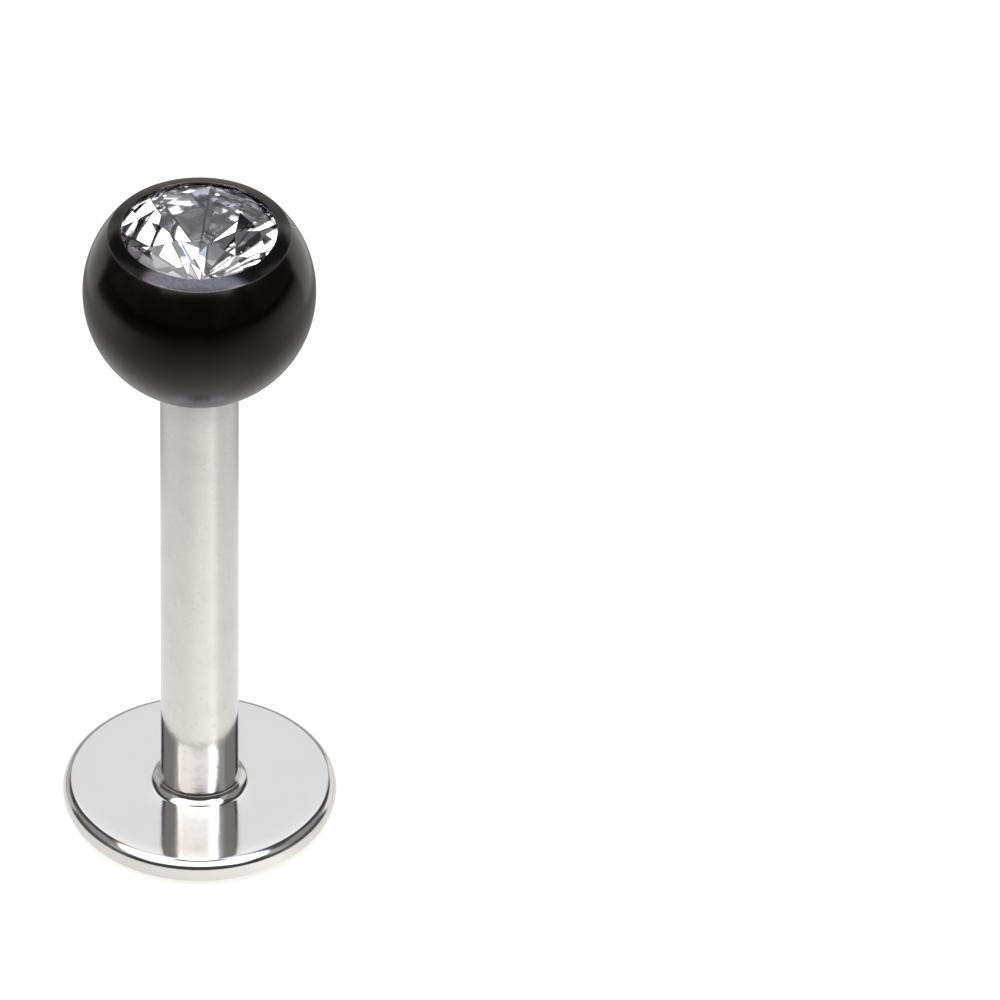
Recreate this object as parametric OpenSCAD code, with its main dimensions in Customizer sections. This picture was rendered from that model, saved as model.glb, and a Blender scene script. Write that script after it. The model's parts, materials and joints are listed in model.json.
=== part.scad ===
// Labret stud: a post on a flat disc, with a screw-on ball that holds a round cut stone.
// Millimetres. The disc rests on Z = 0, and the post stands along +Z.

/* [Disc] */
// Diameter of the disc back
disc_d = 5.6; // [4:0.1:8]
// Thickness of the disc back
disc_t = 0.66; // [0.4:0.02:1.2]
// Radius of the rim's upper round; the lower round takes the rest of the thickness
rim_top_r = 0.22; // [0.1:0.01:0.3]

/* [Post] */
// Diameter of the post
post_d = 1.6; // [1.2:0.1:2]
// Free length of the post between the disc and the ball
post_len = 10.58; // [5:0.02:16]
// Radius of the fillet where the post meets the disc
base_fillet_r = 0.24; // [0.1:0.01:0.5]

/* [Thread] */
// Width of the shoulder that the ball seats on
shoulder_w = 0.2; // [0.17:0.01:0.3]
// Distance from one thread to the next
thread_pitch = 0.25; // [0.18:0.01:0.3]
// Length of the plain neck between the shoulder and the first thread
neck_len = 0.12; // [0.05:0.01:0.3]
// Radial clearance between the thread's crests and the ball's bore
bore_gap = 0.02; // [0.01:0.005:0.05]
// Space between the thread's end and the end of the bore
bore_end_gap = 0.1; // [0.05:0.01:0.3]

/* [Ball] */
// Diameter of the ball
ball_d = 4.75; // [4.2:0.05:6]
// Width of the ball's flat underside past the post
underside_rim = 0.095; // [0.05:0.005:0.3]
// Width of the bevelled ring round the stone
bevel_w = 0.285; // [0.15:0.005:0.4]
// How far the bevelled ring rises towards the stone
bevel_rise = 0.11; // [0.05:0.01:0.2]
// Height of the lip's edge at the stone
lip_t = 0.05; // [0.03:0.01:0.1]
// How far the lip reaches over the stone's girdle
lip_hold = 0.05; // [0.02:0.01:0.1]
// Thickness of metal between the stone's seat and the bore
web_t = 0.3; // [0.15:0.05:0.6]

/* [Stone] */
// Diameter of the stone at its girdle
stone_d = 3.26; // [2.6:0.02:3.6]
// Distance across the table's corners
table_d = 1.7; // [1.4:0.02:2.2]
// Height of the crown, from the girdle to the table
crown_h = 0.44; // [0.3:0.01:0.6]
// Thickness of the girdle
girdle_t = 0.06; // [0.03:0.01:0.12]
// Depth of the pavilion, from the girdle to its point
pavilion_h = 1.46; // [1:0.02:1.6]
// Distance of each star facet's tip from the stone's axis
star_tip_r = 1.24; // [1.12:0.01:1.3]
// Gap between the stone and its seat
seat_gap = 0.02; // [0.01:0.005:0.04]
// Turn of the stone about its axis, in degrees
stone_turn = 14; // [0:1:45]

/* [Hidden] */
$fn = 96;
facet_count = 8;
half_step = 180 / facet_count;
thread_flank = 30;
crest_share = 1 / 8;
root_share = 1 / 4;

disc_r = disc_d / 2;
post_r = post_d / 2;
ball_r = ball_d / 2;
stone_r = stone_d / 2;
table_r = table_d / 2;
rim_low_r = disc_t - rim_top_r;

// Heights in the ball are measured from the ball's centre.
underside_r = post_r + underside_rim;
underside_z = -sqrt(pow(ball_r, 2) - pow(underside_r, 2));
lip_r = stone_r - lip_hold;
bevel_r = lip_r + bevel_w;
bevel_z = sqrt(pow(ball_r, 2) - pow(bevel_r, 2));
lip_z = bevel_z + bevel_rise;

// A crown or pavilion main facet is the plane through one girdle corner and one table corner, or the
// pavilion's point. Two such neighbours meet half a step on: in the crown at the star's tip, and in the
// pavilion at the girdle, which dips there.
crown_slope = crown_h / (stone_r - table_r);
pavilion_slope = pavilion_h / stone_r;
star_tip_h = (stone_r - star_tip_r * cos(half_step)) * crown_slope;
girdle_dip = (stone_r - stone_r * cos(half_step)) * pavilion_slope;

// The lip's underside follows the upper girdle facets.
lip_slope = star_tip_h / (stone_r - star_tip_r);
lip_under_z = lip_z - lip_t;
girdle_top_z = lip_under_z - lip_hold * lip_slope - 2 * seat_gap;
girdle_low_z = girdle_top_z - girdle_t;
seat_tip_z = girdle_low_z - pavilion_h - 2 * seat_gap;

// The post's shoulder carries the ball's flat underside.
shoulder_z = disc_t + post_len;
ball_z = shoulder_z - underside_z;
thread_r = post_r - shoulder_w;
bore_r = thread_r + bore_gap;
bore_end_z = seat_tip_z - web_t;
thread_len = bore_end_z - underside_z - bore_end_gap;
crest_w = thread_pitch * crest_share;
thread_base_w = thread_pitch * (1 - root_share);
thread_depth = (thread_base_w - crest_w) / 2 / tan(thread_flank);
root_r = thread_r - thread_depth;
thread_count = floor((thread_len - neck_len) / thread_pitch);
tip_h = thread_len - neck_len - thread_count * thread_pitch;

// One quarter of a round, with its straight sides along the axes.
module quarter(r, side) {
    intersection() {
        circle(r);
        translate([0, side < 0 ? -r : 0]) square(r);
    }
}

module disc_section() {
    square([disc_r - rim_low_r, rim_low_r]);
    translate([0, rim_low_r]) square([disc_r - rim_top_r, rim_top_r]);
    translate([disc_r - rim_low_r, rim_low_r]) quarter(rim_low_r, -1);
    translate([disc_r - rim_top_r, rim_low_r]) quarter(rim_top_r, 1);
}

module base_fillet_section() {
    difference() {
        square(base_fillet_r);
        translate([base_fillet_r, base_fillet_r]) circle(base_fillet_r);
    }
}

// One turn of the thread, drawn as a ring.
module thread_section() {
    polygon([
        [0, -thread_base_w / 2],
        [root_r, -thread_base_w / 2],
        [thread_r, -crest_w / 2],
        [thread_r, crest_w / 2],
        [root_r, thread_base_w / 2],
        [0, thread_base_w / 2]
    ]);
}

module threaded_end_section() {
    square([root_r, thread_len - tip_h]);
    for (i = [0 : thread_count - 1])
        translate([0, neck_len + (i + 0.5) * thread_pitch]) thread_section();
    translate([0, thread_len - tip_h])
        polygon([[0, 0], [root_r, 0], [root_r - tip_h / 2, tip_h], [0, tip_h]]);
}

module labret_post() {
    color("gainsboro") rotate_extrude() {
        disc_section();
        square([post_r, shoulder_z]);
        translate([post_r, disc_t]) base_fillet_section();
        translate([0, shoulder_z]) threaded_end_section();
    }
}

// The ball's section below its bevelled ring and above its flat underside.
module ball_section() {
    bevel_slope = bevel_rise / bevel_w;
    intersection() {
        circle(ball_r);
        polygon([
            [0, underside_z],
            [ball_r, underside_z],
            [ball_r, lip_z - (ball_r - lip_r) * bevel_slope],
            [lip_r, lip_z],
            [0, lip_z]
        ]);
    }
}

module seat_section() {
    wall_r = stone_r + seat_gap;
    polygon([
        [0, ball_r],
        [lip_r, ball_r],
        [lip_r, lip_under_z],
        [wall_r, lip_under_z - (wall_r - lip_r) * lip_slope],
        [wall_r, girdle_low_z - girdle_dip - seat_gap],
        [0, seat_tip_z]
    ]);
}

module ball() {
    color([0.05, 0.045, 0.045]) translate([0, 0, ball_z]) rotate_extrude() difference() {
        ball_section();
        seat_section();
        translate([0, underside_z - 1]) square([bore_r, bore_end_z - underside_z + 1]);
    }
}

// Corners at radius r and height z, one for each main facet, turned by a.
function corners(r, z, a) =
    [for (i = [0 : facet_count - 1]) [r * cos(a + 2 * half_step * i), r * sin(a + 2 * half_step * i), z]];

// Round stone: table, 8 stars, 8 mains and 16 girdle facets above, and 8 mains below.
module stone() {
    points = concat(
        corners(table_r, girdle_t + crown_h, 0),
        corners(star_tip_r, girdle_t + star_tip_h, half_step),
        corners(stone_r, girdle_t, 0),
        corners(stone_r, girdle_t, half_step),
        corners(stone_r, 0, 0),
        corners(stone_r, -girdle_dip, half_step),
        [[0, 0, -pavilion_h]]
    );
    color([0.88, 0.92, 0.96]) translate([0, 0, ball_z + girdle_low_z]) rotate([0, 0, stone_turn])
        hull() polyhedron(points = points, faces = [[for (i = [0 : len(points) - 1]) i]]);
}

labret_post();
ball();
stone();
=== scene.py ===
"""Labret stud: a steel post on a flat disc, with a black screw-on ball that holds a clear cut stone."""

import json
import math

import bpy
from mathutils import Matrix, Vector


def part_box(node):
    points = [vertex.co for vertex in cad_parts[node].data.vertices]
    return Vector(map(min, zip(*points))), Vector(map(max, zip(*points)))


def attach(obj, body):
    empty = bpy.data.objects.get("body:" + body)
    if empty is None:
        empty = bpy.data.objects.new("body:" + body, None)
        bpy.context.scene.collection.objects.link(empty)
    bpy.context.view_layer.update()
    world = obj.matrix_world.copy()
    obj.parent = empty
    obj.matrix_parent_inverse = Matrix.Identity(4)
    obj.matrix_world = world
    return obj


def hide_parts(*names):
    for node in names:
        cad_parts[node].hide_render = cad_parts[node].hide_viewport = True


bl_info = {
    "name": "Labret Stud",
    "version": (1, 0, 0),
    "blender": (4, 5, 0),
    "location": "View3D > Sidebar > Stud",
    "description": "Turns the post, thread and ball of a labret stud, cuts its stone and lights it",
    "category": "Object",
}

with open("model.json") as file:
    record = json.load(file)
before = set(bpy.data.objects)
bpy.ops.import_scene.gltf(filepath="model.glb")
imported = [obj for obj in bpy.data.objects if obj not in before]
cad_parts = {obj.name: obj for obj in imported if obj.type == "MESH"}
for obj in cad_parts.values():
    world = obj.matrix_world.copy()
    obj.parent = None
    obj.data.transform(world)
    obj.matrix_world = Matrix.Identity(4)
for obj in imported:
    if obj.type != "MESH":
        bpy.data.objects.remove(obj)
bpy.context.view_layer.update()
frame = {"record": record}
post_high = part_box("labret_post")[1]
ball_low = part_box("ball")[0]
stone_low, stone_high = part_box("stone")
pin = next(m for m in frame["record"]["mounts"] if m["name"] == "wearing_post")

# The shapes are drawn in millimetres and brought to metres when they are finished.
MM = 0.001
# Steps round a turned shape, and round each turn of a thread.
ROUND_STEPS = 192
THREAD_STEPS = 72
# Points nearer than this, in millimetres, are one point.
WELD = 2e-4
# Faces that meet at less than this are one curved surface.
CREASE = math.radians(30)
# A thread's flanks lean this much from level, and its flat root and crest are these shares of the
# pitch.
FLANK_LEAN = math.radians(30)
ROOT_SHARE = 1 / 4
CREST_SHARE = 1 / 8
# The facets of the stone repeat eight times round.
FACETS = 8
HALF_STEP = math.pi / FACETS
# How deep the waves and marks in the polish of the metals are.
POLISH_DEPTH = 0.0016 * MM


def length(name, text, default):
    """A size that the user can change."""
    return bpy.props.FloatProperty(
        name=name, description=text, default=default, min=0.0, precision=6, unit="LENGTH"
    )


def share(name, text, default, most=1.0):
    """A plain number that the user can change."""
    return bpy.props.FloatProperty(name=name, description=text, default=default, min=0.0, max=most)


def colour(name, text, default):
    """A colour that the user can change."""
    return bpy.props.FloatVectorProperty(
        name=name, description=text, default=default, size=3, min=0.0, max=1.0, subtype="COLOR"
    )


def angle(name, text, default):
    """An angle that the user can change."""
    return bpy.props.FloatProperty(name=name, description=text, default=default, subtype="ANGLE")


class PostSizes(bpy.types.PropertyGroup):
    """Sizes of the post and its disc."""

    disc_diameter: length("Disc diameter", "Width of the disc back", 2 * post_high.x)
    disc_thickness: length("Disc thickness", "Height of the disc back", 0.66 * MM)
    rim_top_round: length("Upper rim round", "Radius of the rim's upper edge", 0.22 * MM)
    post_diameter: length("Post diameter", "Width of the bar", 2 * pin["dims"]["r_mm"] * MM)
    shoulder_height: length("Shoulder height", "Where the ball seats on the post", ball_low.z)
    base_fillet: length("Base fillet", "Radius where the post meets the disc", 0.24 * MM)
    edge_round: length("Shoulder round", "Radius of the shoulder's edge", 0.03 * MM)
    thread_diameter: length("Thread diameter", "Across the thread's crests", 1.2 * MM)
    thread_pitch: length("Thread pitch", "Distance from one turn to the next", 0.25 * MM)
    neck: length("Neck", "Undercut between the shoulder and the thread", 0.12 * MM)
    thread_end: length("Thread end", "Height of the thread's tip", post_high.z)


class BallSizes(bpy.types.PropertyGroup):
    """Sizes of the ball and of the ring and seat round the stone."""

    diameter: length("Diameter", "Width of the ball", 4.75 * MM)
    underside_diameter: length("Underside", "Width of the flat that meets the shoulder", 1.79 * MM)
    ring_width: length("Ring width", "Width of the bevelled ring", 0.285 * MM)
    ring_rise: length("Ring rise", "How far the ring rises towards the stone", 0.11 * MM)
    lip_diameter: length("Opening", "Width of the opening that shows the stone", 3.16 * MM)
    lip_thickness: length("Lip thickness", "Height of the lip's edge", 0.05 * MM)
    bore_diameter: length("Bore", "Width of the threaded bore", 1.24 * MM)
    seat_gap: length("Seat gap", "Space between the stone and its seat", 0.02 * MM)
    web: length("Web", "Metal between the seat and the bore", 0.3 * MM)


class StoneSizes(bpy.types.PropertyGroup):
    """Sizes of the stone's cut."""

    diameter: length("Diameter", "Across the girdle", 3.26 * MM)
    table_diameter: length("Table", "Across the table's corners", 1.7 * MM)
    crown: length("Crown", "Height of the crown over the girdle", 0.44 * MM)
    girdle: length("Girdle", "Thickness of the girdle", 0.06 * MM)
    star_diameter: length("Star tips", "Across the tips of the star facets", 2.48 * MM)
    turn: angle("Turn", "Turn of the stone about its axis", math.radians(14))


class Finishes(bpy.types.PropertyGroup):
    """Colours and polish of the metals and the stone."""

    steel: colour("Steel", "Polished surgical steel", (0.7, 0.685, 0.67))
    steel_dull: colour("Steel, dull", "Steel where the polish is a little clouded", (0.63, 0.615, 0.6))
    steel_roughness: share("Steel roughness", "How soft the steel's reflections are", 0.07)
    black: colour("Black coat", "Black coating of the ball", (0.0012, 0.0008, 0.0006))
    black_worn: colour("Black coat, worn", "Coating where it is thinner", (0.004, 0.003, 0.0026))
    black_roughness: share("Coat roughness", "How soft the coating's reflections are", 0.12)
    black_tint: colour("Coat tint", "Tint of what the coating reflects", (1.0, 0.9, 0.87))
    black_index: share("Coat index", "Refractive index of the coating", 1.366, 3.0)
    ring: colour("Ring", "Bright cut ring round the stone", (0.065, 0.062, 0.063))
    ring_worn: colour("Ring, worn", "Ring where its coating is thinner", (0.105, 0.1, 0.102))
    glass: colour("Glass", "Tint of the stone's glass", (0.985, 0.985, 1.0))
    glass_index: share("Glass index", "Refractive index of the stone's glass", 1.58, 3.0)
    foil: colour("Foil", "Mirror behind the stone", (0.93, 0.93, 0.95))
    foil_dull: colour("Foil, dull", "Foil where it is clouded", (0.78, 0.77, 0.8))
    # Painted shade: the dark colour painted along the ridges of the stone's back.
    foil_ridge_shade: colour("Foil, ridges", "Foil along the ridges of the stone's back", (0.16, 0.12, 0.11))


class Studio(bpy.types.PropertyGroup):
    """The floor, the room and the camera."""

    view_elevation: angle("Camera height", "Angle of the camera above the floor", math.radians(39))
    view_roll: angle("Camera roll", "Turn that keeps the post upright", 0.0051)
    picture_width: length("Picture width", "Width of what the camera frames", 20.489 * MM)
    aim_right: length("Aim right", "How far right of the post the camera aims", 6.121 * MM)
    aim_up: length("Aim up", "How far above the floor's centre the camera aims, across its view", 6.239 * MM)
    lens: bpy.props.FloatProperty(
        name="Lens", description="Focal length in millimetres", default=1500.0, unit="CAMERA"
    )
    overhead: share("Overhead light", "Brightness of the softbox overhead", 4.7, 50.0)
    overhead_edge: share("Overhead edge", "Brightness of the softbox's low edge", 1.55, 50.0)
    back: share("Back light", "Brightness of the panel behind the stud", 0.98, 50.0)
    back_colour: colour("Back colour", "Colour of the light from behind", (0.955, 0.965, 1.0))
    rear_colour: colour("Rear colour", "Colour of the softbox's rear part", (0.8, 0.82, 1.0))
    side: share("Side light", "Brightness of the room at both sides", 0.26, 50.0)
    walls: share("Walls", "Brightness of the room's dim walls", 0.07, 50.0)
    floor_colour: colour("Floor", "Plain pale floor", (0.2, 0.197, 0.194))
    table: share("Table light", "Light that comes through the floor", 0.745, 10.0)
    table_colour: colour("Table colour", "Colour of the light through the floor", (1.0, 0.985, 0.96))


SETTINGS = {
    "stud_post": PostSizes,
    "stud_ball": BallSizes,
    "stud_stone": StoneSizes,
    "stud_finish": Finishes,
    "stud_studio": Studio,
}


def clear_selection():
    """Leaves edit mode and deselects every object."""
    if bpy.context.object and bpy.context.object.mode != "OBJECT":
        bpy.ops.object.mode_set(mode="OBJECT")
    bpy.ops.object.select_all(action="DESELECT")


def make_active(piece):
    """Selects this piece alone."""
    clear_selection()
    piece.select_set(True)
    bpy.context.view_layer.objects.active = piece


def edit(piece, kind="VERT"):
    """Goes into edit mode on this piece with nothing selected."""
    make_active(piece)
    bpy.ops.object.mode_set(mode="EDIT")
    bpy.ops.mesh.select_mode(type=kind)
    bpy.ops.mesh.select_all(action="DESELECT")


def select_where(piece, parts, wanted):
    """Selects the vertices, edges or faces of a piece for which wanted says yes, in edit mode."""
    bpy.ops.mesh.select_all(action="DESELECT")
    bpy.ops.object.mode_set(mode="OBJECT")
    for part in getattr(piece.data, parts):
        part.select = wanted(part)
    bpy.ops.object.mode_set(mode="EDIT")


def apply_all(piece):
    """Applies the piece's modifiers in order."""
    make_active(piece)
    for name in [m.name for m in piece.modifiers]:
        bpy.ops.object.modifier_apply(modifier=name)


def finish_surface(piece):
    """Smooths the curved faces and keeps flat faces flat."""
    make_active(piece)
    bpy.ops.object.shade_smooth_by_angle(angle=CREASE)
    bpy.ops.object.modifier_add(type="WEIGHTED_NORMAL")
    piece.modifiers[-1].keep_sharp = True
    apply_all(piece)


def to_metres(piece):
    """Brings a piece that was drawn in millimetres to its real size."""
    edit(piece)
    bpy.ops.mesh.select_all(action="SELECT")
    bpy.ops.transform.resize(value=(MM, MM, MM), center_override=(0, 0, 0))
    clear_selection()


class Outline:
    """Half of a turned shape's section, drawn in millimetres from point to point beside the Z axis."""

    def __init__(self, name, r, z):
        clear_selection()
        bpy.ops.mesh.primitive_plane_add(size=1.0, location=(r, 0, z))
        self.piece = bpy.context.object
        self.piece.name = name
        self.piece.data.name = name
        bpy.ops.object.transform_apply(location=True, rotation=False, scale=False)
        edit(self.piece)
        bpy.ops.mesh.select_all(action="SELECT")
        bpy.ops.mesh.merge(type="CENTER")
        bpy.ops.mesh.select_all(action="SELECT")
        self.r = r
        self.z = z

    def line(self, r, z, steps=1):
        """A straight run to a point, in one or more steps."""
        move = ((r - self.r) / steps, 0, (z - self.z) / steps)
        for _ in range(steps):
            bpy.ops.mesh.extrude_region_move(TRANSFORM_OT_translate={"value": move})
        self.r = r
        self.z = z

    def arc(self, r, z, degrees, steps):
        """An arc about a point. Positive degrees turn from outwards to upwards."""
        swing = math.radians(degrees)
        bpy.ops.mesh.spin(steps=steps, angle=swing, center=(r, 0, z), axis=(0, 1, 0))
        away = self.r - r
        above = self.z - z
        self.r = r + away * math.cos(swing) - above * math.sin(swing)
        self.z = z + away * math.sin(swing) + above * math.cos(swing)

    def round_corner(self, r, z, radius, steps=4):
        """Rounds the corner that lies at a point."""
        corner = Vector((r, 0, z))
        select_where(self.piece, "vertices", lambda v: (v.co - corner).length < WELD / 2)
        bpy.ops.mesh.bevel(offset=radius, segments=steps, affect="VERTICES")

    def turn(self):
        """Turns the outline about the Z axis into a closed shape with its faces outwards."""
        bpy.ops.mesh.select_all(action="SELECT")
        bpy.ops.mesh.spin(steps=ROUND_STEPS, angle=math.tau, center=(0, 0, 0), axis=(0, 0, 1))
        bpy.ops.mesh.select_all(action="SELECT")
        bpy.ops.mesh.remove_doubles(threshold=WELD)
        bpy.ops.mesh.normals_make_consistent(inside=False)
        clear_selection()
        return self.piece


def cut_with(piece, tool, operation):
    """Joins a tool to a piece, cuts it out, or keeps what they share, and removes the tool."""
    make_active(piece)
    bpy.ops.object.modifier_add(type="BOOLEAN")
    cut = piece.modifiers[-1]
    cut.operation = operation
    cut.solver = "EXACT"
    cut.object = tool
    apply_all(piece)
    bpy.data.objects.remove(tool)


def threaded_rod(name, crest, pitch, low, high):
    """A right-handed threaded rod about the Z axis, between two heights, and its root radius."""
    root_flat = pitch * ROOT_SHARE
    crest_flat = pitch * CREST_SHARE
    flank = (pitch - root_flat - crest_flat) / 2
    root = crest - flank / math.tan(FLANK_LEAN)
    # The sweep starts a turn too low and ends too high, and is then trimmed.
    start = low - pitch
    turns = math.ceil((high - low) / pitch) + 2
    crest_start = start + root_flat + flank
    section = Outline(name, root, start)
    section.line(root, start + root_flat)
    section.line(crest, crest_start)
    section.line(crest, crest_start + crest_flat)
    section.line(root, start + pitch)
    rod = section.piece
    make_active(rod)
    bpy.ops.object.modifier_add(type="SCREW")
    sweep = rod.modifiers[-1]
    sweep.axis = "Z"
    sweep.angle = math.tau
    sweep.screw_offset = pitch
    sweep.iterations = turns
    sweep.steps = THREAD_STEPS
    sweep.render_steps = THREAD_STEPS
    apply_all(rod)
    edit(rod)
    bpy.ops.mesh.select_all(action="SELECT")
    bpy.ops.mesh.remove_doubles(threshold=WELD)
    for height, above, below in ((low, False, True), (high, True, False)):
        bpy.ops.mesh.select_all(action="SELECT")
        bpy.ops.mesh.bisect(
            plane_co=(0, 0, height),
            plane_no=(0, 0, 1),
            use_fill=True,
            clear_outer=above,
            clear_inner=below,
            threshold=1e-5,
        )
    bpy.ops.mesh.select_all(action="SELECT")
    bpy.ops.mesh.normals_make_consistent(inside=False)
    clear_selection()
    return rod, root


def give_materials(piece, *materials):
    """Puts materials in the piece's slots, in order."""
    piece.data.materials.clear()
    for material in materials:
        piece.data.materials.append(material)


class Number:
    """A socket that carries a number. Sums and products written with it become Math nodes."""

    def __init__(self, nodes, socket):
        self.nodes = nodes
        self.socket = socket

    def math(self, operation, *values):
        """One Math node on this number and others."""
        return self.nodes.add("ShaderNodeMath", {"operation": operation}, (self, *values))

    def __add__(self, other):
        return self.math("ADD", other)

    def __sub__(self, other):
        return self.math("SUBTRACT", other)

    def __rsub__(self, other):
        return self.nodes.add("ShaderNodeMath", {"operation": "SUBTRACT"}, (other, self))

    def __mul__(self, other):
        return self.math("MULTIPLY", other)

    def __truediv__(self, other):
        return self.math("DIVIDE", other)

    def __rtruediv__(self, other):
        return self.nodes.add("ShaderNodeMath", {"operation": "DIVIDE"}, (other, self))

    def __pow__(self, other):
        return self.math("POWER", other)

    __radd__ = __add__
    __rmul__ = __mul__

    def step(self, low, high):
        """0 below low and 1 above high, with a smooth rise between."""
        return self.nodes.add(
            "ShaderNodeMapRange",
            {"interpolation_type": "SMOOTHSTEP"},
            {"Value": self, "From Min": low, "From Max": high},
        )

    def fall(self, low, high):
        """1 below low and 0 above high, with a smooth fall between."""
        return 1 - self.step(low, high)

    def band(self, rise, drop):
        """1 between a smooth rise and a smooth fall, each given by its two ends, and 0 outside them."""
        return self.step(*rise) * self.fall(*drop)


class Nodes:
    """The nodes of one material or of the world."""

    def __init__(self, tree):
        self.tree = tree
        tree.nodes.clear()

    def add(self, kind, settings=None, values=(), output=0):
        """Adds a node, makes its settings, then fills its sockets by order or by name."""
        node = self.tree.nodes.new(kind)
        for name, value in (settings or {}).items():
            setattr(node, name, value)
        pairs = values.items() if isinstance(values, dict) else enumerate(values)
        for key, value in pairs:
            if isinstance(value, Number):
                self.tree.links.new(value.socket, node.inputs[key])
            else:
                node.inputs[key].default_value = value
        return Number(self, node.outputs[output]) if node.outputs else None

    def mix(self, factor, first, second):
        """A mix of two colours. The node's colour sockets are found by their order."""
        values = {0: factor, 6: as_colour(first), 7: as_colour(second)}
        return self.add("ShaderNodeMix", {"data_type": "RGBA"}, values, 2)

    def noise(self, place, size, detail=3.0, roughness=0.5, distortion=0.0):
        """Noise whose patches are about size across, in metres."""
        values = {
            "Vector": place,
            "Scale": 1 / size,
            "Detail": detail,
            "Roughness": roughness,
            "Distortion": distortion,
        }
        return self.add("ShaderNodeTexNoise", None, values, "Fac")

    def parts(self, vector):
        """The three numbers of a vector."""
        first = self.add("ShaderNodeSeparateXYZ", None, (vector,))
        return [Number(self, socket) for socket in first.socket.node.outputs]

    def camera_sees(self):
        """1 where the camera looks straight at the surface, and 0 in reflections and for light."""
        return self.add("ShaderNodeLightPath", None, (), "Is Camera Ray")

    def polish(self, height):
        """The surface's tilt where its polish is uneven by this height."""
        values = {"Strength": 1.0, "Distance": POLISH_DEPTH, "Height": height}
        return self.add("ShaderNodeBump", None, values)

    def surface(self, values):
        """The material's shader with these values, joined to its output."""
        shader = self.add("ShaderNodeBsdfPrincipled", None, values)
        self.add("ShaderNodeOutputMaterial", None, {"Surface": shader})


def as_colour(value):
    """A colour with its fourth number, or the socket as it is."""
    return value if isinstance(value, Number) else (*value, 1.0)


def new_material(name):
    """An empty node material, its nodes and the object's own coordinates."""
    material = bpy.data.materials.new(name)
    material.use_nodes = True
    nodes = Nodes(material.node_tree)
    place = nodes.add("ShaderNodeTexCoord", None, (), "Object")
    return material, nodes, place


def polished_steel(finish):
    """Bright polished steel with fine polishing lines, faint clouding and a slightly wavy surface."""
    material, nodes, place = new_material("polished_steel")
    z = nodes.parts(place)[2]
    clouds = nodes.noise(place, 0.9 * MM, detail=4.0, roughness=0.6)
    drawn_out = nodes.add("ShaderNodeMapping", None, {"Vector": place, "Scale": (1.0, 1.0, 0.06)})
    lines = nodes.noise(drawn_out, 0.05 * MM, roughness=0.7)
    waves = nodes.noise(place, 0.7 * MM, detail=2.0)
    ripples = nodes.noise(place, 0.15 * MM, detail=2.0)
    pits = nodes.noise(place, 0.06 * MM, detail=2.0)
    specks = nodes.noise(place, 0.11 * MM, roughness=0.6).step(0.55, 0.72)
    # The disc is evenly polished, and the bar is a little rippled and specked from its drawing.
    bar = z.step(0.8 * MM, 1.0 * MM)
    cloudy = clouds.step(0.45, 0.75) * (0.3 + bar * 0.7)
    dulled = cloudy * 0.6 + lines * 0.2 + specks * bar * 0.7
    height = waves * (0.8 + bar * 0.8) + ripples * (0.3 + bar * 0.5) + lines * 0.05 + pits * 0.03
    nodes.surface(
        {
            "Base Color": nodes.mix(dulled, finish.steel, finish.steel_dull),
            "Metallic": 1.0,
            "Roughness": finish.steel_roughness + cloudy * 0.05 + lines * 0.04 + bar * 0.03,
            "Normal": nodes.polish(height),
        }
    )
    return material


def black_coat(finish):
    """Glossy black coating with a slightly uneven polish and fine hairline marks."""
    material, nodes, place = new_material("black_coat")
    z = nodes.parts(place)[2]
    clouds = nodes.noise(place, 1.1 * MM, detail=4.0, roughness=0.6)
    hairlines = nodes.noise(place, 0.045 * MM, roughness=0.7, distortion=0.6)
    # The ring round the stone is cut bright. The ball is tumbled, and duller on its underside.
    ring_edge = (14.88 * MM, 14.92 * MM)
    underside_edge = (11.9 * MM, 12.9 * MM)
    bright_cut = z.step(*ring_edge)
    dull = z.fall(*underside_edge)
    ball_tone = nodes.mix(clouds.step(0.4, 0.8), finish.black, finish.black_worn)
    ring_tone = nodes.mix(hairlines.step(0.3, 0.7), finish.ring, finish.ring_worn)
    marks = clouds * 0.05 + hairlines * 0.03
    nodes.surface(
        {
            "Base Color": nodes.mix(bright_cut, ball_tone, ring_tone),
            "Metallic": bright_cut,
            "IOR": finish.black_index,
            "Specular Tint": as_colour(finish.black_tint),
            "Roughness": finish.black_roughness + marks - bright_cut * 0.04 + dull * 0.14,
            "Normal": nodes.polish(clouds * 0.8 + hairlines * (0.05 + bright_cut * 0.2)),
        }
    )
    return material


def cut_glass(finish):
    """Clear glass of the stone's crown, with traces of the polish on its facets."""
    material, nodes, place = new_material("cut_glass")
    traces = nodes.noise(place, 0.12 * MM, roughness=0.6)
    nodes.surface(
        {
            "Base Color": as_colour(finish.glass),
            "Roughness": traces * 0.006,
            "IOR": finish.glass_index,
            "Transmission Weight": 1.0,
        }
    )
    return material


def foil_back(finish, turn):
    """Mirror foil behind the stone, clouded in places, with painted shade: dark lines along the ridges
    between facets.
    """
    material, nodes, place = new_material("foil_back")
    x, y = nodes.parts(place)[:2]
    clouds = nodes.noise(place, 0.5 * MM, roughness=0.6)
    # The angle from the nearest facet's middle, and from it the distance to the nearest edge between facets.
    swing = (y.math("ARCTAN2", x) - turn).math("PINGPONG", HALF_STEP)
    away = (HALF_STEP - swing) * (x * x + y * y).math("SQRT")
    ridge_edge = (0.01 * MM, 0.03 * MM)
    # Painted shade: the foil is painted dark along the ridges between facets, where the edges would show
    # dark lines.
    ridge_shade = away.fall(*ridge_edge)
    tone = nodes.mix(clouds.step(0.45, 0.8), finish.foil, finish.foil_dull)
    nodes.surface(
        {
            "Base Color": nodes.mix(ridge_shade, tone, finish.foil_ridge_shade),
            "Metallic": 1.0,
            "Roughness": 0.02 + clouds * 0.03,
        }
    )
    return material


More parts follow.
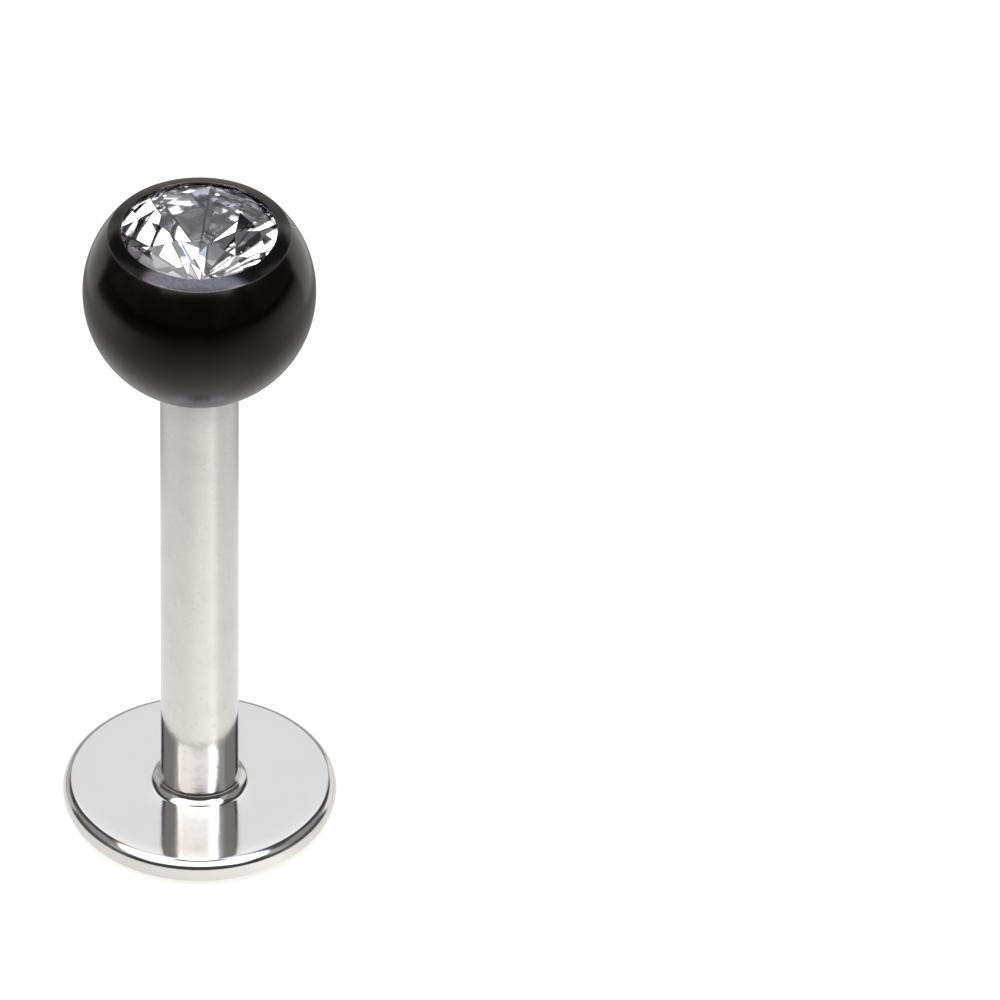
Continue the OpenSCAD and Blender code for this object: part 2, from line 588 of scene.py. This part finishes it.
class STUD_OT_post(bpy.types.Operator):
    """Turns the post with its disc, fillet and shoulder, and cuts the thread on its end"""

    bl_idname = "stud.post"
    bl_label = "Post and Disc"

    def execute(self, context):
        sizes = context.scene.stud_post
        disc_r = sizes.disc_diameter / 2 / MM
        disc_h = sizes.disc_thickness / MM
        top_round = sizes.rim_top_round / MM
        low_round = disc_h - top_round
        post_r = sizes.post_diameter / 2 / MM
        fillet = sizes.base_fillet / MM
        shoulder = sizes.shoulder_height / MM
        crest = sizes.thread_diameter / 2 / MM
        pitch = sizes.thread_pitch / MM
        thread_start = shoulder + sizes.neck / MM
        end = sizes.thread_end / MM

        # The shoulder has a point that the thread's core later covers.
        core_r = crest - 0.2
        side = Outline("polished_post", 0, 0)
        side.line(disc_r - low_round, 0, steps=6)
        side.arc(disc_r - low_round, low_round, 90, steps=20)
        side.arc(disc_r - top_round, low_round, 90, steps=14)
        side.line(post_r + fillet, disc_h, steps=5)
        side.arc(post_r + fillet, disc_h + fillet, -90, steps=14)
        side.line(post_r, shoulder, steps=12)
        side.line(core_r, shoulder)
        side.line(0, shoulder)
        side.round_corner(post_r, shoulder, sizes.edge_round / MM)
        post = side.turn()

        # The rod starts inside the post. What it keeps is an undercut neck, a thread that rises out of
        # it, and a bevelled tip.
        rod_low = shoulder - 0.2
        rod_high = end + 0.1
        rod, root = threaded_rod("thread", crest, pitch, rod_low, rod_high)
        inside = shoulder - 0.15
        undercut_r = root - 0.012
        clear_r = crest + 0.02
        tip_r = root - 0.06
        bevel = 0.16
        kept = Outline("thread_relief", 0, inside)
        kept.line(undercut_r, inside)
        kept.line(undercut_r, thread_start)
        kept.line(clear_r, thread_start + bevel)
        kept.line(clear_r, end - bevel)
        kept.line(tip_r, end)
        kept.line(0, end)
        cut_with(rod, kept.turn(), "INTERSECT")
        cut_with(post, rod, "UNION")
        to_metres(post)
        finish_surface(post)
        give_materials(post, polished_steel(context.scene.stud_finish))
        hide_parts("labret_post")
        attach(post, "post")
        return {"FINISHED"}


class STUD_OT_ball(bpy.types.Operator):
    """Turns the ball with its bevelled ring, lip and seat, and taps its bore"""

    bl_idname = "stud.ball"
    bl_label = "Ball"

    def execute(self, context):
        sizes = context.scene.stud_ball
        stone = context.scene.stud_stone
        ball_r = sizes.diameter / 2 / MM
        flat_r = sizes.underside_diameter / 2 / MM
        underside = context.scene.stud_post.shoulder_height / MM
        centre = underside + math.sqrt(ball_r**2 - flat_r**2)
        lip_r = sizes.lip_diameter / 2 / MM
        ring_r = lip_r + sizes.ring_width / MM
        ring_z = centre + math.sqrt(ball_r**2 - ring_r**2)
        lip_z = ring_z + sizes.ring_rise / MM
        lip_low = lip_z - sizes.lip_thickness / MM
        gap = sizes.seat_gap / MM
        bore_r = sizes.bore_diameter / 2 / MM
        wall_r = stone.diameter / 2 / MM + gap
        stone_tip = stone_low.z / MM
        girdle = (stone_high.z - stone.crown - stone.girdle) / MM
        girdle_dip = (girdle - stone_tip) * (1 - math.cos(HALF_STEP))
        seat_tip = stone_tip - 2 * gap
        bore_end = seat_tip - sizes.web / MM
        ring_angle = math.degrees(math.atan2(ring_z - centre, ring_r))
        flat_angle = math.degrees(math.atan2(underside - centre, flat_r))
        # The lip's underside slopes down to the seat's wall.
        lip_slope = 0.04

        side = Outline("black_ball", 0, seat_tip)
        side.line(wall_r, girdle - girdle_dip - gap, steps=8)
        side.line(wall_r, lip_low - lip_slope)
        side.line(lip_r, lip_low)
        side.line(lip_r, lip_z)
        side.line(ring_r, ring_z, steps=2)
        side.arc(0, centre, flat_angle - ring_angle, steps=72)
        side.line(bore_r, underside)
        side.line(bore_r, bore_end, steps=8)
        side.line(0, bore_end)
        side.round_corner(lip_r, lip_z, radius=0.014)
        side.round_corner(ring_r, ring_z, radius=0.016)
        side.round_corner(flat_r, underside, radius=0.03)
        side.round_corner(bore_r, underside, radius=0.05, steps=2)
        ball = side.turn()

        # The tap starts below the ball and stops short of the bore's end.
        pitch = context.scene.stud_post.thread_pitch / MM
        groove = 0.09
        tap_start = underside - 0.2
        tap_end = bore_end - 0.12
        tap = threaded_rod("tap", bore_r + groove, pitch, tap_start, tap_end)[0]
        cut_with(ball, tap, "DIFFERENCE")
        to_metres(ball)
        finish_surface(ball)
        give_materials(ball, black_coat(context.scene.stud_finish))
        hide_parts("ball")
        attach(ball, "jewelled_ball")
        return {"FINISHED"}


class STUD_OT_stone(bpy.types.Operator):
    """Cuts the round stone with its table, stars, mains and girdle facets, and foils its back"""

    bl_idname = "stud.stone"
    bl_label = "Stone"

    def execute(self, context):
        sizes = context.scene.stud_stone
        girdle_r = sizes.diameter / 2 / MM
        table_r = sizes.table_diameter / 2 / MM
        star_r = sizes.star_diameter / 2 / MM
        top = stone_high.z / MM
        girdle_top = top - sizes.crown / MM
        girdle_low = girdle_top - sizes.girdle / MM
        tip = stone_low.z / MM
        crown_slope = (top - girdle_top) / (girdle_r - table_r)
        star_z = girdle_top + (girdle_r - star_r * math.cos(HALF_STEP)) * crown_slope
        # Two facets of the back meet half a step on, where the girdle dips.
        dip_z = girdle_low - (girdle_low - tip) * (1 - math.cos(HALF_STEP))
        # The back's point is worn to a tiny flat.
        culet_r = 0.02
        culet_z = tip + (dip_z - tip) * culet_r / girdle_r
        rings = (
            (table_r, top, 0.0),
            (star_r, star_z, HALF_STEP),
            (girdle_r, girdle_top, 0.0),
            (girdle_r, girdle_top, HALF_STEP),
            (girdle_r, girdle_low, 0.0),
            (girdle_r, dip_z, HALF_STEP),
            (culet_r, culet_z, HALF_STEP),
        )
        clear_selection()
        for index, (radius, height, turn) in enumerate(rings):
            bpy.ops.mesh.primitive_circle_add(
                vertices=FACETS,
                radius=radius,
                location=(0, 0, height),
                rotation=(0, 0, turn + sizes.turn),
            )
            if index == 0:
                stone = bpy.context.object
                stone.name = "cut_stone"
                stone.data.name = "cut_stone"
                bpy.ops.object.transform_apply(location=True, rotation=True, scale=True)
                bpy.ops.object.mode_set(mode="EDIT")
        bpy.ops.mesh.select_all(action="SELECT")
        bpy.ops.mesh.convex_hull()
        bpy.ops.mesh.select_all(action="SELECT")
        bpy.ops.mesh.dissolve_limited(angle_limit=math.radians(0.4))
        bpy.ops.mesh.select_all(action="SELECT")
        bpy.ops.mesh.normals_make_consistent(inside=False)
        to_metres(stone)
        finish = context.scene.stud_finish
        give_materials(stone, cut_glass(finish), foil_back(finish, sizes.turn))
        # The facets that look down are foiled.
        looks_down = -0.1
        edit(stone, "FACE")
        select_where(stone, "polygons", lambda face: face.normal.z < looks_down)
        stone.active_material_index = 1
        bpy.ops.object.material_slot_assign()
        clear_selection()
        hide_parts("stone")
        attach(stone, "jewelled_ball")
        return {"FINISHED"}


class STUD_OT_stage(bpy.types.Operator):
    """Sets up the plain floor, the soft studio room and the camera"""

    bl_idname = "stud.stage"
    bl_label = "Studio"

    def execute(self, context):
        studio = context.scene.stud_studio
        self.floor(studio)
        self.room(studio)
        self.camera(context, studio)
        scene = context.scene
        scene.view_settings.view_transform = "Standard"
        scene.view_settings.look = "None"
        scene.cycles.max_bounces = 24
        scene.cycles.glossy_bounces = 12
        scene.cycles.transmission_bounces = 16
        scene.cycles.caustics_reflective = False
        scene.cycles.caustics_refractive = False
        return {"FINISHED"}

    def floor(self, studio):
        """A wide pale light table with light and shade painted into its colour and glow; its far parts are
        darker in the metal's reflections.
        """
        clear_selection()
        bpy.ops.mesh.primitive_circle_add(vertices=128, radius=2.0, fill_type="NGON")
        floor = bpy.context.object
        floor.name = "floor"
        material, nodes, place = new_material("floor")
        away = nodes.add("ShaderNodeVectorMath", {"operation": "LENGTH"}, (place,), "Value")
        x, y = nodes.parts(place)[:2]

        def towards(right, back, tightness):
            """How nearly a point lies in this direction from the post, from 0 to 1."""
            return ((x * right + y * back) / away).math("MAXIMUM", 0.0) ** tightness

        # Painted light and shade: in reflections the table's colour and glow are painted brighter in front
        # and to the right of the camera, darker behind the stud as a painted shadow, and fading with
        # distance to half of their light at half_light.
        half_light = 22 * MM
        front = towards(0.26, -0.966, 6)
        right_front = towards(0.616, -0.788, 40)
        behind = towards(0, 1, 2) * away.step(9 * MM, 13 * MM)
        painted_floor_light = 1 + front * 0.22 + right_front * 0.25 - behind * 0.5
        painted_floor_light = painted_floor_light / (1 + (away / half_light) ** 2)
        # Further out a patch of light is painted at each side.
        painted_side_light = towards(-1, 0, 4) * away.fall(44 * MM, 52 * MM)
        painted_side_light = painted_side_light + towards(1, 0, 4) * away.fall(50 * MM, 160 * MM)
        painted_floor_light = painted_floor_light + painted_side_light * away.step(14 * MM, 34 * MM) * 0.6
        # Behind the stud painted light brightens the table as far as it goes, less so straight behind.
        rear = (y / away).step(0.36, 0.46) * (1 - (y / away).step(0.88, 1.0) * 0.55)
        rear = rear * away.step(18 * MM, 30 * MM) * (1 + x / away * 0.15)
        painted_floor_light = painted_floor_light.math("MAXIMUM", rear)
        # The camera itself sees the table white all over.
        white = 1.2
        seen = nodes.camera_sees()
        painted_floor_light = painted_floor_light * (1 - seen) + seen * white
        pale = tuple(studio.floor_colour)
        paler = tuple(1.02 * c for c in pale)
        tone = nodes.mix(nodes.noise(place, 3 * MM), pale, paler)
        # The painted light and shade darken the floor's colour where they are low, and set the strength of
        # its glow.
        tone = nodes.mix(painted_floor_light, (0.0, 0.0, 0.0), tone)
        top_lit = nodes.add("ShaderNodeBsdfDiffuse", None, {"Color": tone})
        lit = {"Color": as_colour(studio.table_colour), "Strength": painted_floor_light * studio.table}
        under_lit = nodes.add("ShaderNodeEmission", None, lit)
        both = nodes.add("ShaderNodeAddShader", None, (top_lit, under_lit))
        nodes.add("ShaderNodeOutputMaterial", None, {"Surface": both})
        give_materials(floor, material)

    def room(self, studio):
        """A softbox overhead, a panel behind, dim sides and a dark front."""
        world = bpy.data.worlds.new("studio")
        bpy.context.scene.world = world
        world.use_nodes = True
        nodes = Nodes(world.node_tree)
        x, y, z = nodes.parts(nodes.add("ShaderNodeTexCoord", None, (), "Generated"))
        # Where each direction crosses a ceiling at height 1, with the camera's side at negative depth.
        height = z.math("MAXIMUM", 0.02)
        across = x / height + 0.1
        depth = y / height
        # The angle from straight behind the stud.
        turn = x.math("ABSOLUTE").math("ARCTAN2", y)

        # The softbox is narrower towards the back, with soft edges all round.
        half_width = (0.62 - depth * 0.85).math("MINIMUM", 1.12)
        softbox = (across.math("ABSOLUTE") - half_width).fall(-0.05, 0.05)
        softbox = softbox * depth.band((-1.45, -1.33), (0.45, 0.6))
        # It is brightest overhead, and its low edge has a brighter streak at the right.
        rise = z.step(0.62, 0.88)
        streak = across.step(0.65, 0.75) * (1 - rise)
        level = studio.overhead_edge * (1 + streak * 0.8)
        level = level + rise * (studio.overhead - studio.overhead_edge)
        # Its rear part is dimmer, and what lies straight above in front of the stud is dimmer still.
        rear = depth.step(0.06, 0.13)
        level = level * (1 - rear * 0.42) * (1 - z.step(0.945, 0.965) * (1 - rear) * 0.7)

        # The panel straight behind is dimmer low down, and a narrower column stands over it.
        panel = turn.fall(0.3, 0.5) * (0.35 + z.step(0.38, 0.5) * 0.65) * z.fall(0.69, 0.73)
        column = turn.fall(0.2, 0.32) * z.band((0.64, 0.74), (0.85, 0.9))
        behind = panel * (1.2 - z * 0.3) + column
        # A low glow lies on both sides of the panel, brighter at the right.
        glow = turn.band((0.36, 0.5), (1.0, 1.15)) * z.fall(0.38, 0.52)
        glow = glow * (0.5 + x.step(0.0, 0.3) * 0.45)
        # The sides are dim, dimmer still low down, and a little brighter towards the front.
        sides = turn.band((0.75, 0.95), (2.0, 2.3)) * z.fall(0.8, 0.86)
        sides = sides * (1 + turn.step(1.7, 1.85) * 0.8) * (0.15 + z.step(0.35, 0.5) * 0.85)
        light = softbox * level + behind * studio.back + glow + sides * studio.side + studio.walls

        tint = nodes.mix(behind.math("MINIMUM", 1.0), (1.0, 1.0, 1.0), studio.back_colour)
        tint = nodes.mix(rear * softbox, tint, studio.rear_colour)
        # The softbox's cloth is stained a little warm along one edge and cool along the other.
        fringe = softbox * (1 - softbox) * 3
        warm_to_cool = nodes.mix(across.step(-0.2, 0.2), (1.0, 0.7, 0.45), (0.4, 0.62, 1.0))
        tint = nodes.mix(fringe, tint, warm_to_cool)
        seen = nodes.camera_sees()
        strength = light * (1 - seen) + seen
        background = nodes.add("ShaderNodeBackground", None, {"Color": tint, "Strength": strength})
        nodes.add("ShaderNodeOutputWorld", None, {"Surface": background})

    def camera(self, context, studio):
        """A long lens at the height of the photographer's, with the stud at the left."""
        tilt = studio.view_elevation
        ahead = Vector((0, math.cos(tilt), -math.sin(tilt)))
        up = Vector((0, math.sin(tilt), math.cos(tilt)))
        facing = Matrix.Rotation(math.pi / 2 - tilt, 3, "X")
        aim = Vector((studio.aim_right, 0, 0)) + studio.aim_up * up
        data = bpy.data.cameras.new("camera")
        data.lens = studio.lens
        data.sensor_width = 36.0
        distance = studio.picture_width * studio.lens / data.sensor_width
        data.clip_start = distance / 50
        data.clip_end = distance * 20
        camera = bpy.data.objects.new("camera", data)
        context.scene.collection.objects.link(camera)
        camera.location = aim - distance * ahead
        camera.rotation_euler = (facing @ Matrix.Rotation(studio.view_roll, 3, "Z")).to_euler()
        context.scene.camera = camera


class STUD_PT_pieces(bpy.types.Panel):
    """Lists the pieces of the stud and their sizes"""

    bl_label = "Labret Stud"
    bl_idname = "STUD_PT_pieces"
    bl_space_type = "VIEW_3D"
    bl_region_type = "UI"
    bl_category = "Stud"

    def draw(self, context):
        for operator in OPERATORS:
            self.layout.operator(operator.bl_idname)
        for name, group in SETTINGS.items():
            box = self.layout.box()
            box.label(text=group.__doc__)
            for field in group.__annotations__:
                box.prop(getattr(context.scene, name), field)


OPERATORS = (STUD_OT_post, STUD_OT_ball, STUD_OT_stone, STUD_OT_stage)


def register():
    """Registers the settings, the operators and the panel."""
    for group in SETTINGS.values():
        bpy.utils.register_class(group)
    for operator in OPERATORS:
        bpy.utils.register_class(operator)
    bpy.utils.register_class(STUD_PT_pieces)
    for name, group in SETTINGS.items():
        setattr(bpy.types.Scene, name, bpy.props.PointerProperty(type=group))


def unregister():
    """Takes everything that register added away again."""
    for name in SETTINGS:
        delattr(bpy.types.Scene, name)
    bpy.utils.unregister_class(STUD_PT_pieces)
    for operator in reversed(OPERATORS):
        bpy.utils.unregister_class(operator)
    for group in reversed(SETTINGS.values()):
        bpy.utils.unregister_class(group)


def main():
    register()
    bpy.ops.stud.post()
    bpy.ops.stud.ball()
    bpy.ops.stud.stone()
    bpy.ops.stud.stage()


if __name__ == "__main__":
    main()
